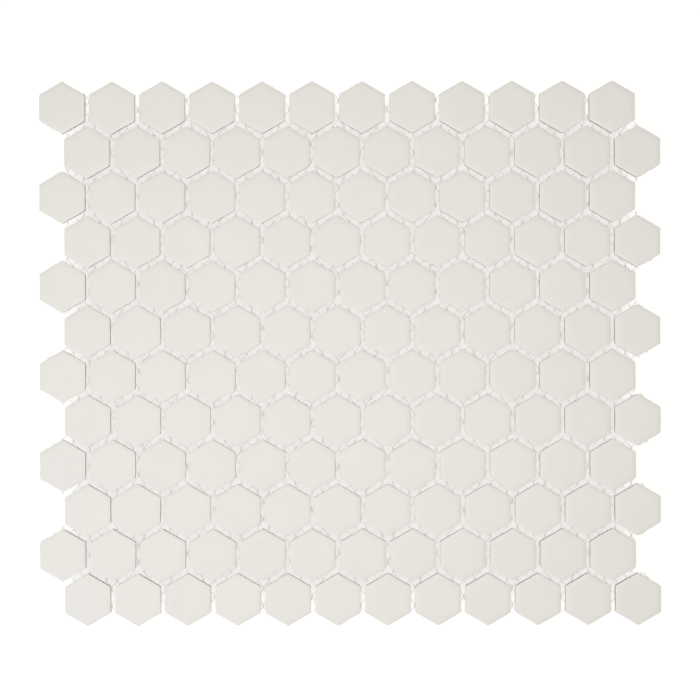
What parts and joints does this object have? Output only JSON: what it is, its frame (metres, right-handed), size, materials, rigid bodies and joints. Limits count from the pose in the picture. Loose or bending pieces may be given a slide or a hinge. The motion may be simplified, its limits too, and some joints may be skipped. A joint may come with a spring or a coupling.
{
  "type": "hexagon floor mosaic sheet",
  "caption": "Sheet of unglazed white hexagon floor tiles in staggered rows, spaced for grout and held on a knitted net.",
  "frame": {"origin": "middle of the sheet, level with the underside of the net", "axes": "+X along the rows to the right and +Y up the sheet as seen from above, +Z out of the walking face"},
  "size_m": [0.301, 0.2641, 0.0055],
  "materials": {
    "porcelain": "matte unglazed",
    "net_yarn": "matte knitted yarn",
    "adhesive": "dried white glue"
  },
  "bodies": {
    "root": {"tile_row_01": "porcelain", "tile_row_02": "porcelain", "tile_row_03": "porcelain", "tile_row_04": "porcelain", "tile_row_05": "porcelain", "tile_row_06": "porcelain", "tile_row_07": "porcelain", "tile_row_08": "porcelain", "tile_row_09": "porcelain", "tile_row_10": "porcelain", "tile_row_11": "porcelain", "tile_row_12": "porcelain", "mesh_weft": "net_yarn", "mesh_warp": "net_yarn"}
  },
  "joints": []
}
